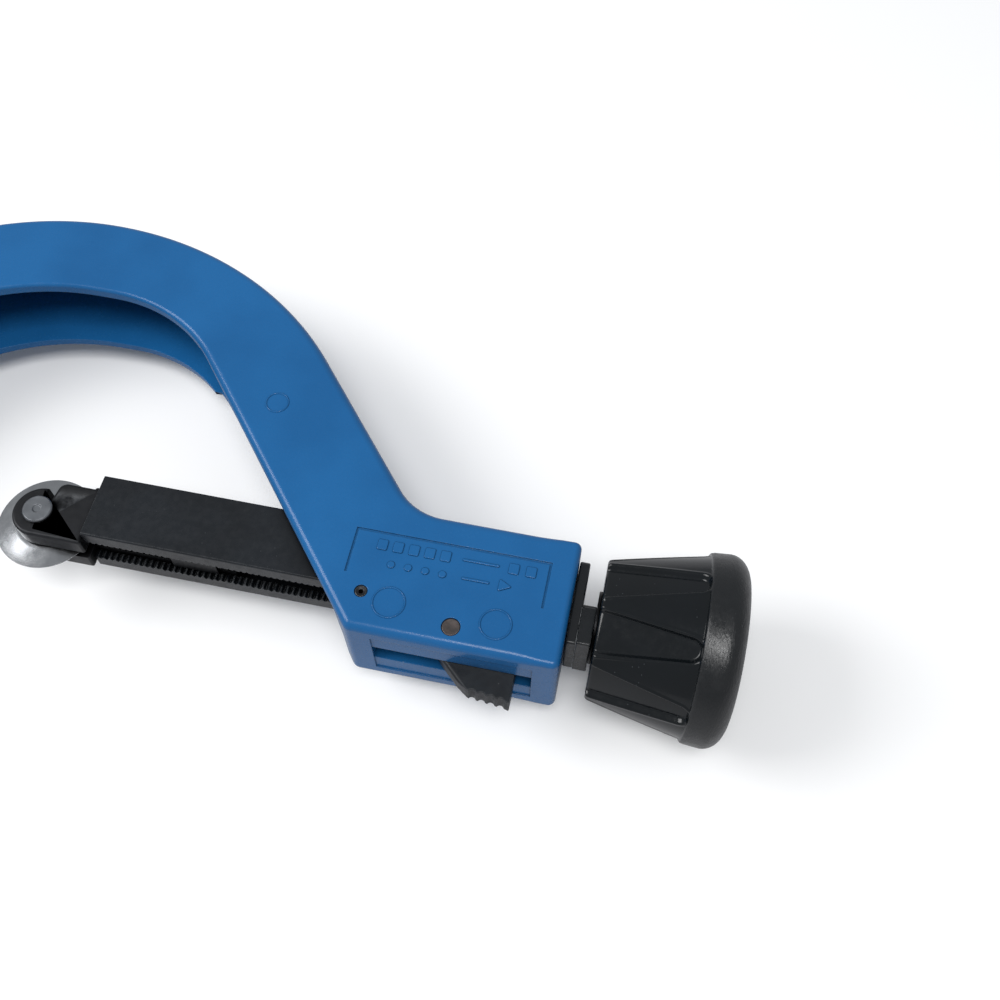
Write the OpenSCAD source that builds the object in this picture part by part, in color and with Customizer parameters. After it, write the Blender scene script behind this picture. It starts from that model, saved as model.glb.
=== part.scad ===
// Quick-adjusting cutter for plastic pipe
// A C-shaped frame holds four rollers; a toothed rail slides through its handle end
// and a knob-driven screw in the rail feeds the cutting wheel.
// Origin: centre of the largest pipe, on the feed-screw axis.
// +X towards the knob, +Y towards the back of the arch, +Z across the tool.

/* [Capacity] */
// Outside diameter of the largest pipe
pipe_d = 160; // [156:1:161]
// Room between the largest pipe and the slanted arm
arm_room = 1.3; // [0.8:0.1:2]
// Room between the largest pipe and the inside of the jaw
jaw_room = 7; // [6:0.5:8]

/* [Frame] */
// Width of the frame across the tool
frame_w = 36.8; // [34:0.2:40]
// Thickness of the two side flanges
flange_t = 4; // [3:0.5:5]
// Thickness of the outer web
web_t = 5; // [4:0.5:6]
// Slope of the slanted arm
arm_slope = 50; // [48:0.5:52]
// Height of the arch above the screw axis
arch_top = 119.3; // [116:0.5:122]
// Radius of the arch on the knob side
arch_r = 126; // [122:1:130]
// Radius of the outside of the jaw
jaw_outer_r = 112; // [110:0.5:113]
// Angle at which the jaw ends
jaw_end = 217; // [214:1:222]
// Radius of the inside corner of the arch
inner_corner_r = 56; // [50:1:60]
// Distance from the slanted arm's inner line to its outer line
arm_depth = 37.3; // [34:0.5:40]
// Radius of the knee between arm and housing
knee_r = 21; // [15:1:25]

/* [Housing] */
// End of the housing on the knob side
housing_end = 193.4; // [191:0.2:196]
// Back face of the housing above the screw axis
housing_top = 20.9; // [20.5:0.1:23]
// Bottom face of the housing below the screw axis
housing_bottom = 23.3; // [23:0.1:25]
// Length of the lever slot in the bottom face
slot_len = 51.9; // [50:0.1:53]
// Width of the lever slot
slot_w = 8.6; // [8.4:0.1:9]

/* [Rail] */
// Height and width of the square rail
rail_size = 22.9; // [22.8:0.1:23]
// Length of the rail
rail_len = 163.4; // [155:0.2:165]
// Wall thickness of the rail
rail_t = 3; // [2.6:0.1:3.2]
// Distance from the screw axis to the rail's slotted face
rail_low = 6.6; // [6.5:0.1:6.7]
// Gap between the tips of the two racks
rack_gap = 10.4; // [10.3:0.1:10.8]
// Depth of the rack teeth
tooth_depth = 1; // [0.6:0.1:1.4]
// Pitch of the rack teeth
tooth_pitch = 2.1; // [1.8:0.1:3]
// Travel of the rail
rail_travel = 88; // [80:1:88]

/* [Feed] */
// Diameter of the feed screw
screw_d = 8; // [7:0.5:8]
// Diameter of the cutting wheel
wheel_d = 34; // [30:1:34]
// Diameter of the wheel axle
axle_d = 6; // [5:0.5:6]

/* [Knob] */
// Length of the knob
knob_len = 45.6; // [44:0.1:48]
// Diameter of the knob at the rail end
knob_small_d = 47.6; // [44:0.2:49]
// Diameter of the cone where it meets the rim
knob_cone_d = 59.6; // [57:0.2:61]
// Diameter of the rim
knob_rim_d = 63.2; // [62.5:0.1:64]
// Number of finger pockets around the knob
pockets = 8; // [6:1:10]
// Depth of the finger pockets
pocket_depth = 2.2; // [1:0.1:2.4]

/* [Latch] */
// Diameter of the lever pin
lever_pin_d = 6; // [5:0.5:6]
// Diameter of the pawl pin
pawl_pin_d = 4.2; // [3.6:0.1:4.4]
// Thickness of the lever and the pawl arm
lever_t = 7.8; // [7:0.1:7.8]

/* [Rollers] */
// Diameter of the rollers
roller_d = 22; // [20:0.5:22]
// Half-angle between the two roller axles
roller_angle = 25; // [23:0.5:26]

/* [Hidden] */
$fn = 96;
// radial running clearance, the overlap of joined shapes, and how far a cutter overshoots
run = 0.05;
lap = 0.02;
over = 1;
far = 200;
pipe_r = pipe_d / 2;
jaw_r = pipe_r + jaw_room;
half_w = frame_w / 2;
flange_z = half_w - flange_t;
nx = sin(arm_slope);
ny = cos(arm_slope);
inner_line = pipe_r + arm_room;
outer_line = inner_line + arm_depth;
arch_cy = arch_top - arch_r;
arch_cx = (outer_line - arch_r - ny * arch_cy) / nx;
corner_cy = jaw_r - inner_corner_r;
corner_cx = (inner_line - inner_corner_r - ny * corner_cy) / nx;
low_x = (inner_line + ny * housing_bottom) / nx;
knee_x = (outer_line - ny * housing_top) / nx;
knee_run = knee_r * tan(arm_slope / 2);
solid_x = housing_end - 73.4;
rail_front = housing_end - rail_len;
rail_z = rail_size / 2;
rail_gap = 0.15;
inside_low = rail_t - rail_low;
inside_high = rail_size - rail_low - rail_t;
inside_z = rail_z - rail_t;
lever_x = housing_end - 35.2;
lever_y = -16.7;
pawl_x = housing_end - 65.6;
pawl_y = -10.55;
chamber_z = 8;
recess_z = 12;
recess_depth = 0.5;
panel_depth = 0.4;
panel_line = 0.8;
relief_h = 0.3;
slot_end = housing_end - 8.2;
stop_x = housing_end - 8.4;
stop_r = 2.5;
groove_x = stop_x - 2.1 - rail_travel;
groove_z = 2.2;
groove_depth = 1.4;
wheel_x = rail_front - wheel_d / 2 - 1;
screw_r = screw_d / 2;
block_end = housing_end + 8.1;
flange_x = housing_end + 0.2;
block_low = -11.3;
plug_x = housing_end - 17;
plug_gap = 0.2;
block_screw_x = housing_end - 8;
block_screw_rows = [3.5, 10];
ring_x = housing_end - 19.1;
ring_slot = 1.2;
ring_depth = 0.7;
washer_t = 1;
knob_x = block_end + washer_t + 0.1;
rim_start = 32;
grip_len = 38.5;
rim_fillet = 6.8;
cap_r = 15.9;
first_pocket = 25.8;
nut_seat = 30;
roller_reach = pipe_r + roller_d / 2;
roller_x = -roller_reach * cos(roller_angle);
roller_y = roller_reach * sin(roller_angle);
roller_len = flange_z - 0.7;
roller_axle_r = 3;
roller_side = 0.25;
ear_r = 8;
carriage_r = 9;
wheel_slot = 4;
wheel_hub = 1.9;
clip_slot = 0.9;
clip_depth = 0.7;
nut_start = rail_front + 28;
nut_len = 16;

// Outline of the frame, moved inwards by inset on its outer side
module outer_shape(inset) {
    arch = arch_r - inset;
    tangent = [arch_cx + (arch - lap) * nx, arch_cy + (arch - lap) * ny];
    intersection() {
        translate([arch_cx, arch_top - jaw_outer_r])
            circle(jaw_outer_r - inset, $fn = 240);
        translate([arch_cx - far, -far])
            square([far, 2 * far]);
    }
    intersection() {
        translate([arch_cx, arch_cy])
            circle(arch, $fn = 240);
        polygon([[arch_cx, arch_cy], [arch_cx, far], [arch_cx + far, far],
            [arch_cx + far * sin(arm_slope + 4), arch_cy + far * cos(arm_slope + 4)]]);
    }
    translate([arch_cx - 20, -60])
        square([40, arch_top + 54]);
    difference() {
        polygon([[arch_cx - 10, -60], [arch_cx - 10, arch_cy],
            [arch_cx + 100 * sin(arm_slope - 8), arch_cy + 100 * cos(arm_slope - 8)],
            tangent, [knee_x - (inset + lap) / nx, housing_top], [housing_end, housing_top],
            [housing_end, -housing_bottom], [low_x, -housing_bottom], [low_x, -60]]);
        translate([-far, -far])
            square([3 * far, far - housing_bottom]);
    }
}

// Rounds the inside corner between the arm and the housing
module knee_fillet() {
    difference() {
        polygon([[knee_x - knee_run * ny, housing_top + knee_run * nx],
            [knee_x + knee_run, housing_top + knee_r],
            [knee_x + knee_run, housing_top], [knee_x - 4, housing_top - 8]]);
        translate([knee_x + knee_run, housing_top + knee_r])
            circle(knee_r + 2 * lap);
    }
}

// Space inside the C, bounded by the jaw, the arch and the slanted arm
module opening_shape() {
    intersection() {
        circle(jaw_r + lap, $fn = 240);
        translate([-far, -far])
            square([far + 30, 2 * far]);
    }
    translate([corner_cx, corner_cy])
        circle(inner_corner_r + lap, $fn = 180);
    polygon([[0, -far], [0, jaw_r], [corner_cx, jaw_r], [corner_cx, corner_cy],
        [corner_cx + inner_corner_r * nx, corner_cy + inner_corner_r * ny],
        [low_x, -housing_bottom], [low_x, -far]]);
}

module roller_ears(r) {
    for (s = [-1, 1])
        translate([roller_x, s * roller_y])
            circle(r);
}

// Everything on the pipe side of the line where the jaw ends
module jaw_cut(extra) {
    polygon([[0, 0], [far * cos(jaw_end - extra), far * sin(jaw_end - extra)],
        [0, -2 * far], [low_x, -2 * far], [low_x, -housing_bottom]]);
}

module frame_shape() {
    knee_fillet();
    difference() {
        outer_shape(0);
        opening_shape();
        jaw_cut(0);
    }
    roller_ears(ear_r);
}

module channel_shape() {
    difference() {
        intersection() {
            outer_shape(web_t);
            translate([-far, -far])
                square([far + solid_x, 2 * far]);
        }
        jaw_cut(2.5);
    }
    roller_ears(ear_r + 1.5);
}

module relief_marks() {
    for (p = [[housing_end - 21.8, -13.1, 5.3], [housing_end - 56.1, -12.6, 5.5],
              [housing_end - 112.4, 52.5, 4.2]])
        translate([p[0], p[1], half_w - relief_h])
            difference() {
                cylinder(h = 2 * relief_h, r = p[2]);
                translate([0, 0, -over])
                    cylinder(h = 3 * over, r = p[2] - 0.6);
            }
}

module size_panel() {
    long = 64.4;
    high = 16.1;
    translate([slot_end - long, -4.8, half_w - panel_depth])
        difference() {
            cube([long, high, over]);
            translate([panel_line, -0.2, -over])
                cube([long - 2 * panel_line, high - panel_line + 0.2, 3 * over]);
        }
}

module frame() {
    color([0.12, 0.36, 0.62])
        difference() {
            union() {
                difference() {
                    translate([0, 0, -half_w])
                        linear_extrude(frame_w)
                            frame_shape();
                    translate([0, 0, -flange_z])
                        linear_extrude(2 * flange_z)
                            channel_shape();
                }
                relief_marks();
            }
            // rail channel
            translate([solid_x - over, -rail_low - rail_gap, -rail_z - rail_gap])
                cube([housing_end - solid_x + 2 * over, rail_size + 2 * rail_gap,
                    rail_size + 2 * rail_gap]);
            // latch chamber under the rail
            translate([0, 0, -chamber_z])
                linear_extrude(2 * chamber_z)
                    polygon([[solid_x + 3.5, 0], [solid_x + 3.5, -14], [solid_x + 7.8, -19.3],
                        [housing_end - 5, -19.3], [housing_end - 5, 0]]);
            // lever slot and the shallow recess round it
            translate([slot_end - slot_len, -housing_bottom - over, -slot_w / 2])
                cube([slot_len, 7 + over, slot_w]);
            translate([slot_end - slot_len, -housing_bottom - over, -recess_z])
                cube([slot_len, recess_depth + over, 2 * recess_z]);
            size_panel();
            // pin, axle and stop screw holes
            translate([lever_x, lever_y, -half_w - over])
                cylinder(h = frame_w + 2 * over, r = lever_pin_d / 2 + run);
            translate([pawl_x, pawl_y, -half_w - over])
                cylinder(h = frame_w + 2 * over, r = pawl_pin_d / 2 + run);
            for (s = [-1, 1])
                translate([roller_x, s * roller_y, -half_w - over])
                    cylinder(h = frame_w + 2 * over, r = roller_axle_r + run);
            translate([stop_x, 10, 0])
                rotate([-90, 0, 0])
                    cylinder(h = 20, r = stop_r + run);
        }
}

module rail_stop_screw() {
    color([0.2, 0.2, 0.21])
        translate([stop_x, 0, 0])
            rotate([-90, 0, 0])
                difference() {
                    union() {
                        translate([0, 0, 15.5])
                            cylinder(h = 2, r = 1.9);
                        translate([0, 0, 16.95])
                            cylinder(h = housing_top - 17.25, r = stop_r);
                    }
                    translate([0, 0, housing_top - 2.3])
                        cylinder(h = 4, r = 1.45, $fn = 6);
                }
}

// Gap between the two racks, seen from the slotted face
module rack_shape() {
    tip = rack_gap / 2;
    root = tip + tooth_depth;
    translate([rail_front - over, -tip])
        square([rail_len + 2 * over, rack_gap]);
    half = tooth_pitch / 2 - 0.1;
    for (x = [rail_front + 2 : tooth_pitch : housing_end - 3])
        translate([x, 0])
            polygon([[-half, tip - 0.1], [0, root], [half, tip - 0.1],
                [half, 0.1 - tip], [0, -root], [-half, 0.1 - tip]]);
}

module slide_rail() {
    color([0.1, 0.1, 0.11])
        difference() {
            translate([rail_front, -rail_low, -rail_z])
                cube([rail_len, rail_size, rail_size]);
            translate([rail_front - over, inside_low, -inside_z])
                cube([rail_len + 2 * over, inside_high - inside_low, 2 * inside_z]);
            translate([0, inside_low + 0.5, 0])
                rotate([90, 0, 0])
                    linear_extrude(rail_t + 2)
                        rack_shape();
            // stop groove in the back
            translate([groove_x, rail_size - rail_low - groove_depth, -groove_z])
                cube([stop_x + 2.6 - groove_x, groove_depth + over, 2 * groove_z]);
            // side holes for the end block screws
            for (y = block_screw_rows)
                translate([block_screw_x, y, -rail_z - over])
                    cylinder(h = rail_size + 2 * over, r = 1.6);
        }
}

module round_block(x, len, y0, y1, z, r) {
    translate([x, 0, 0])
        rotate([90, 0, 90])
            linear_extrude(len)
                union() {
                    translate([y0, -z])
                        square([y1 - y0 - r, 2 * z]);
                    translate([y0, r - z])
                        square([y1 - y0, 2 * z - 2 * r]);
                    for (s = [-1, 1])
                        translate([y1 - r, s * (z - r)])
                            circle(r);
                }
}

module rail_end_block() {
    color([0.07, 0.07, 0.08])
        difference() {
            union() {
                round_block(flange_x, 3.4, block_low, 18.5, 10.5, 2.5);
                translate([flange_x + 3.3, block_low, -11.4])
                    cube([block_end - flange_x - 3.3, 13.2, 22.8]);
                translate([plug_x, inside_low + plug_gap, plug_gap - inside_z])
                    cube([flange_x - plug_x + 0.1, inside_high - inside_low - 2 * plug_gap,
                        2 * (inside_z - plug_gap)]);
                translate([plug_x, 0.3 - rail_low, plug_gap - rack_gap / 2])
                    cube([flange_x - plug_x + 0.1, 5, rack_gap - 2 * plug_gap]);
            }
            translate([housing_end - 20, 0, 0])
                rotate([0, 90, 0])
                    cylinder(h = 40, r = screw_r + run);
            for (y = block_screw_rows)
                translate([block_screw_x, y, -rail_z - over])
                    cylinder(h = rail_size + 2 * over, r = 1.3);
        }
}

module end_block_screws() {
    color([0.3, 0.3, 0.31])
        for (y = block_screw_rows, s = [-1, 1])
            translate([block_screw_x, y, 0])
                mirror([0, 0, s < 0 ? 1 : 0])
                    difference() {
                        union() {
                            translate([0, 0, 5])
                                cylinder(h = rail_z - 6, r = 1.25);
                            translate([0, 0, rail_z - 2.4])
                                cylinder(h = 2.2, r = 1.5);
                        }
                        translate([0, 0, rail_z - 1.2])
                            cylinder(h = 3, r = 0.8, $fn = 6);
                    }
}

module feed_screw() {
    color([0.55, 0.55, 0.57])
        rotate([0, 90, 0])
            difference() {
                translate([0, 0, rail_front + 2])
                    cylinder(h = knob_x + grip_len - rail_front - 2, r = screw_r);
                translate([0, 0, ring_x])
                    difference() {
                        cylinder(h = ring_slot, r = 10);
                        cylinder(h = ring_slot, r = screw_r - ring_depth);
                    }
            }
}

module thrust_washer() {
    color([0.12, 0.12, 0.13])
        translate([block_end + 0.05, 0, 0])
            rotate([0, 90, 0])
                difference() {
                    cylinder(h = washer_t, r = 12);
                    translate([0, 0, -over])
                        cylinder(h = 3 * over, r = screw_r + run);
                }
}

module screw_retaining_ring() {
    color([0.45, 0.45, 0.47])
        translate([ring_x + run, 0, 0])
            rotate([0, 90, 0])
                difference() {
                    cylinder(h = ring_slot - 2 * run, r = screw_r + 1.7);
                    translate([0, 0, -over])
                        cylinder(h = 3 * over, r = screw_r - ring_depth + 0.1);
                    translate([0, -1.2, -over])
                        cube([10, 2.4, 4 * over]);
                }
}

// Half section of the knob: radius along X, length along Y
module knob_section() {
    small_r = knob_small_d / 2;
    cone_r = knob_cone_d / 2;
    rim_r = knob_rim_d / 2;
    inner_r = rim_r - rim_fillet;
    polygon([[0, 0], [small_r - 1, 0], [small_r, 1], [cone_r, rim_start],
        [rim_r - 0.8, rim_start], [rim_r - 0.4, rim_start + 1], [rim_r, grip_len], [0, grip_len]]);
    translate([inner_r, grip_len])
        circle(rim_fillet);
    translate([0, rim_start])
        square([inner_r, knob_len - rim_start - 1]);
    translate([0, rim_start])
        square([inner_r - 1, knob_len - rim_start - 0.5]);
}

// Tapered finger pocket, laid flat on the cone of the knob
module knob_pocket() {
    pocket_end_r = 3.9;
    lean = atan((knob_cone_d - knob_small_d) / 2 / (rim_start - 1));
    translate([knob_small_d / 2 - pocket_depth, 0, -1])
        rotate([0, lean, 0])
            rotate([0, 90, 0])
                linear_extrude(8) {
                    polygon([[2, -7.4], [-30, -pocket_end_r], [-30, pocket_end_r], [2, 7.4]]);
                    translate([-30, 0])
                        circle(pocket_end_r, $fn = 48);
                }
}

module knob() {
    color([0.05, 0.05, 0.06])
        translate([knob_x, 0, 0])
            rotate([0, 90, 0])
                difference() {
                    rotate_extrude($fn = 144)
                        knob_section();
                    for (i = [0 : pockets - 1])
                        rotate([0, 0, first_pocket + i * 360 / pockets])
                            knob_pocket();
                    // screw hole, nut seat and cap recess
                    translate([0, 0, -over])
                        cylinder(h = knob_len + 2 * over, r = screw_r + run);
                    translate([0, 0, nut_seat])
                        cylinder(h = knob_len, r = 7.7, $fn = 6);
                    translate([0, 0, knob_len - 2.5])
                        cylinder(h = knob_len, r = cap_r + 0.1);
                    translate([0, 0, 12])
                        difference() {
                            cylinder(h = knob_len, r = 20);
                            translate([0, 0, -over])
                                cylinder(h = knob_len + 2 * over, r = 11);
                        }
                }
}

module knob_nut() {
    color([0.6, 0.6, 0.62])
        translate([knob_x + nut_seat + 0.1, 0, 0])
            rotate([0, 90, 0])
                difference() {
                    cylinder(h = 7, r = 7.5, $fn = 6);
                    translate([0, 0, -1])
                        cylinder(h = 10, r = screw_r + 0.02);
                }
}

module knob_cap() {
    color([0.07, 0.07, 0.08])
        translate([knob_x + knob_len - 2.4, 0, 0])
            rotate([0, 90, 0])
                union() {
                    cylinder(h = 1.6, r = cap_r);
                    translate([0, 0, -4])
                        difference() {
                            cylinder(h = 4.1, r = 14);
                            translate([0, 0, -1])
                                cylinder(h = 5, r = 12.5);
                        }
                }
}

module release_lever() {
    color([0.16, 0.17, 0.18])
        translate([lever_x, 0, 0])
            difference() {
                union() {
                    translate([0, lever_y, -lever_t / 2])
                        cylinder(h = lever_t, r = 5.5);
                    translate([-8.05, -10.45, -lever_t / 2])
                        cylinder(h = lever_t, r = 1.6);
                    translate([0, 0, -lever_t / 2])
                        linear_extrude(lever_t)
                            polygon([[-8.05, -11.95], [-8.05, -8.95], [0.5, -8.95], [3, -11],
                                [11.8, -13.5], [21.6, -17.5], [21.6, -32.3], [19.4, -31.8],
                                [7.8, -30.6], [4.3, -28.4], [-2.7, -21.9], [-4.6, -19.4],
                                [-4.4, -11.95]]);
                }
                // thumb serrations
                for (i = [0 : 3])
                    translate([9.4 + i * 3.1, -31.4 - i * 0.32, -10])
                        cylinder(h = 20, r = 1.35, $fn = 32);
                translate([0, lever_y, -10])
                    cylinder(h = 20, r = lever_pin_d / 2 + run + 0.02);
            }
}

module lever_pin() {
    color([0.42, 0.38, 0.36])
        translate([lever_x, lever_y, 0.15 - half_w])
            cylinder(h = frame_w - 0.3, r = lever_pin_d / 2);
}

module pawl_tooth_cuts() {
    for (s = [-1, 1], x = [11.4 : tooth_pitch : 18.5])
        translate([pawl_x + x, -9, s * 4.95])
            rotate([-90, 0, 0])
                rotate(45)
                    translate([-0.6, -0.6])
                        cube([1.2, 1.2, 6]);
}

module latch_pawl() {
    color([0.3, 0.3, 0.32])
        difference() {
            union() {
                translate([pawl_x, pawl_y, -lever_t / 2])
                    cylinder(h = lever_t, r = 3.9);
                translate([0, 0, -lever_t / 2])
                    linear_extrude(lever_t)
                        translate([pawl_x, 0])
                            polygon([[0, -14.2], [0, -7.2], [10.2, -8], [10.2, -7.2],
                                [19.2, -7.2], [19.2, -12.5], [24.3, -12.5], [24.3, -15.5],
                                [12, -15.5]]);
                translate([pawl_x + 10.2, -12, -4.95])
                    cube([9, 7.1, 9.9]);
            }
            pawl_tooth_cuts();
            translate([pawl_x, pawl_y, -10])
                cylinder(h = 20, r = pawl_pin_d / 2 + run + 0.02);
        }
}

module pawl_pin() {
    color([0.35, 0.33, 0.32])
        translate([pawl_x, pawl_y, 0.15 - half_w])
            difference() {
                cylinder(h = frame_w - 0.3, r = pawl_pin_d / 2);
                translate([0, 0, -1])
                    cylinder(h = frame_w + 2, r = 0.8);
            }
}

// Torsion spring round the pawl pin: three coils, a leg under the pawl and a leg to the wall
module latch_spring() {
    coil_r = 2.85;
    wire_r = 0.5;
    first_z = 4.6;
    coil_step = 1.1;
    under_pawl = 16.1;
    color([0.6, 0.6, 0.62])
        translate([pawl_x, 0, first_z]) {
            for (i = [0 : 2])
                translate([0, pawl_y, i * coil_step])
                    rotate_extrude($fn = 60)
                        translate([coil_r, 0])
                            circle(wire_r, $fn = 32);
            translate([coil_r, pawl_y, 0])
                cylinder(h = 2 * coil_step, r = 0.3);
            translate([0, pawl_y - coil_r, 0])
                rotate([90, 0, 0])
                    cylinder(h = under_pawl + pawl_y - coil_r + 0.3, r = 0.45);
            translate([-0.3, -under_pawl, 0])
                rotate([0, 90, 0])
                    cylinder(h = 12, r = 0.4);
            translate([11.4, -under_pawl, 0.6])
                rotate([180, 0, 0])
                    cylinder(h = 6, r = 0.45);
            translate([-coil_r, pawl_y, 2 * coil_step])
                rotate([0, -90, 0])
                    cylinder(h = 1.2, r = 0.45);
        }
}

module wheel_carriage() {
    color([0.2, 0.2, 0.21])
        difference() {
            union() {
                translate([wheel_x, 0, -carriage_r])
                    cylinder(h = 2 * carriage_r, r = carriage_r);
                translate([wheel_x, -carriage_r, -carriage_r])
                    cube([rail_front - 0.1 - wheel_x, 21, 2 * carriage_r]);
                translate([rail_front - 3, inside_low + 0.3, 0.3 - inside_z])
                    cube([53, inside_high - inside_low - 0.6, 2 * inside_z - 0.6]);
            }
            // slot for the wheel
            translate([wheel_x - 20, -30, -wheel_slot / 2])
                cube([rail_front - wheel_x + 19.9, 60, wheel_slot]);
            translate([wheel_x, 0, -20])
                cylinder(h = 40, r = axle_d / 2 + run);
            // passage for the feed screw
            translate([rail_front + 1, 0, 0])
                rotate([0, 90, 0])
                    cylinder(h = 60, r = screw_r + 0.6);
            // seat for the nut, open below
            translate([nut_start, -10, -7])
                cube([nut_len, 17, 14]);
        }
}

module feed_nut() {
    color([0.14, 0.14, 0.15])
        difference() {
            union() {
                translate([nut_start + run, -3.2, -6.95])
                    cube([nut_len - 2 * run, 10.15, 13.9]);
                translate([nut_start + run, -4.6, -4.8])
                    cube([nut_len - 2 * run, 5, 9.6]);
            }
            translate([rail_front, 0, 0])
                rotate([0, 90, 0])
                    cylinder(h = 60, r = screw_r + run);
        }
}

module cutter_wheel() {
    r = wheel_d / 2;
    color([0.78, 0.79, 0.8])
        translate([wheel_x, 0, 0])
            rotate_extrude($fn = 144)
                polygon([[axle_d / 2 + run, -wheel_hub], [6.5, -wheel_hub], [6.5, -0.9],
                    [9.5, -0.9], [r, -0.06], [r, 0.06], [9.5, 0.9], [6.5, 0.9],
                    [6.5, wheel_hub], [axle_d / 2 + run, wheel_hub]]);
}

module wheel_axle() {
    color([0.55, 0.55, 0.57])
        translate([wheel_x, 0, 0])
            difference() {
                union() {
                    translate([0, 0, -11])
                        cylinder(h = 21, r = axle_d / 2);
                    translate([0, 0, 9.1])
                        cylinder(h = 1.6, r = 5);
                }
                translate([0, 0, -10.5])
                    difference() {
                        cylinder(h = clip_slot, r = 5);
                        cylinder(h = clip_slot, r = axle_d / 2 - clip_depth);
                    }
            }
}

module wheel_axle_clip() {
    color([0.3, 0.3, 0.31])
        translate([wheel_x, 0, -10.45])
            difference() {
                cylinder(h = clip_slot - 2 * run, r = 5);
                translate([0, 0, -over])
                    cylinder(h = 3 * over, r = axle_d / 2 - clip_depth + 0.1);
                translate([-8, -2, -1])
                    cube([8, 4, 3]);
            }
}

module roller(y, z) {
    color([0.62, 0.64, 0.66])
        translate([roller_x, y, z])
            rotate_extrude()
                difference() {
                    polygon([[roller_axle_r + run, 0], [roller_d / 2 - 0.8, 0], [roller_d / 2, 0.8],
                        [roller_d / 2, roller_len - 0.8], [roller_d / 2 - 0.8, roller_len],
                        [roller_axle_r + run, roller_len]]);
                    translate([6, -1])
                        square([3, 1.6]);
                    translate([6, roller_len - 0.6])
                        square([3, 1.6]);
                }
}

module upper_roller_near() {
    roller(roller_y, roller_side);
}

module upper_roller_far() {
    roller(roller_y, -roller_len - roller_side);
}

module lower_roller_near() {
    roller(-roller_y, roller_side);
}

module lower_roller_far() {
    roller(-roller_y, -roller_len - roller_side);
}

module roller_axle(y) {
    color([0.42, 0.38, 0.36])
        translate([roller_x, y, 0]) {
            translate([0, 0, 0.15 - half_w])
                cylinder(h = frame_w - 0.15, r = roller_axle_r);
            translate([0, 0, half_w])
                cylinder(h = 1.2, r = 4.6);
        }
}

module upper_roller_axle() {
    roller_axle(roller_y);
}

module lower_roller_axle() {
    roller_axle(-roller_y);
}

frame();
rail_stop_screw();
slide_rail();
rail_end_block();
end_block_screws();
feed_screw();
thrust_washer();
screw_retaining_ring();
knob();
knob_nut();
knob_cap();
release_lever();
lever_pin();
latch_pawl();
pawl_pin();
latch_spring();
wheel_carriage();
feed_nut();
cutter_wheel();
wheel_axle();
wheel_axle_clip();
upper_roller_near();
upper_roller_far();
lower_roller_near();
lower_roller_far();
upper_roller_axle();
lower_roller_axle();
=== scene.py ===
"""Looks of the quick-adjusting cutter for plastic pipe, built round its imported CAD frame.

Lengths in the modelling code are millimetres in the row frame; mesh() turns them into metres.
"""

import math

import bmesh
import bpy
from mathutils import Euler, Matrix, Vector


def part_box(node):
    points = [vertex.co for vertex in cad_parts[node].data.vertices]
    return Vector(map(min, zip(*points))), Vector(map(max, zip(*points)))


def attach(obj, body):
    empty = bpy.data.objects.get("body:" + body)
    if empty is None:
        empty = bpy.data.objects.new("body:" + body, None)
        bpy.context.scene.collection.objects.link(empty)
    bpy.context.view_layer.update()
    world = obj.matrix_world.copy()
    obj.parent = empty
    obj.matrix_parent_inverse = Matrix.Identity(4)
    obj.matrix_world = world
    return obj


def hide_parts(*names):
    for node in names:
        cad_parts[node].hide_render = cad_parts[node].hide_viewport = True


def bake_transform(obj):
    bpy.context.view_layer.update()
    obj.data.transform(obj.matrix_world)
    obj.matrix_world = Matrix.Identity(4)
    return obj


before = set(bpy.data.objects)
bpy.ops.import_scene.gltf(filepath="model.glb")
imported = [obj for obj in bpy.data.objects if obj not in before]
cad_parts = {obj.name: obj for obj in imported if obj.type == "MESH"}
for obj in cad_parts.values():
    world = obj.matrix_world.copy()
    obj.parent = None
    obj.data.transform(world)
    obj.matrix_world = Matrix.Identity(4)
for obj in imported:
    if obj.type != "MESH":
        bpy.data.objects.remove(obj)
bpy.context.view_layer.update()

MM = 0.001
TAU = 2 * math.pi


def span(node):
    """Lowest and highest corner of a CAD node in millimetres."""
    low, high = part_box(node)
    return low / MM, high / MM


# ---------------------------------------------------------------- measures
FRAME_LOW, FRAME_HIGH = span("frame")
RAIL_LOW, RAIL_HIGH = span("slide_rail")
KNOB_LOW, KNOB_HIGH = span("knob")
# half the casting's thickness, the housing's knob end and the top of the arch
HALF_W = -FRAME_LOW.z
END = FRAME_HIGH.x
ARCH_TOP = FRAME_HIGH.y
# largest pipe, the jaw's inner radius, and how far the slanted arm's two faces lie from the pipe's axis
PIPE_R = 80.0
JAW_R = PIPE_R + 7
INNER_LINE = PIPE_R + 1.3
OUTER_LINE = INNER_LINE + 37.3
# the slanted arm's outward normal
SLOPE_DEG = 50
SLOPE = math.radians(SLOPE_DEG)
NX, NY = math.sin(SLOPE), math.cos(SLOPE)
# upper and lower face of the housing
TOP, BOTTOM = 20.9, -23.3
# radii of the arch's back, the jaw's back, the inner corner and the knee, with the arcs' centres
ARCH_R, OUTER_R, CORNER_R, KNEE_R = 126.0, 112.0, 56.0, 21.0
ARCH_C = ((OUTER_LINE - ARCH_R - NY * (ARCH_TOP - ARCH_R)) / NX, ARCH_TOP - ARCH_R)
JAW_C = (ARCH_C[0], ARCH_TOP - OUTER_R)
CORNER_C = ((INNER_LINE - CORNER_R - NY * (JAW_R - CORNER_R)) / NX, JAW_R - CORNER_R)
# where the arm's inner face meets the housing's lower face, and where the knee's arc starts
LOW_X = (INNER_LINE - NY * BOTTOM) / NX
KNEE_X = (OUTER_LINE - NY * TOP) / NX + KNEE_R * math.tan(SLOPE / 2)
# direction of the jaw's tip in degrees, and the C section's wall thicknesses
JAW_END = 217
FLANGE, WEB = 4.0, 5.0
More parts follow.
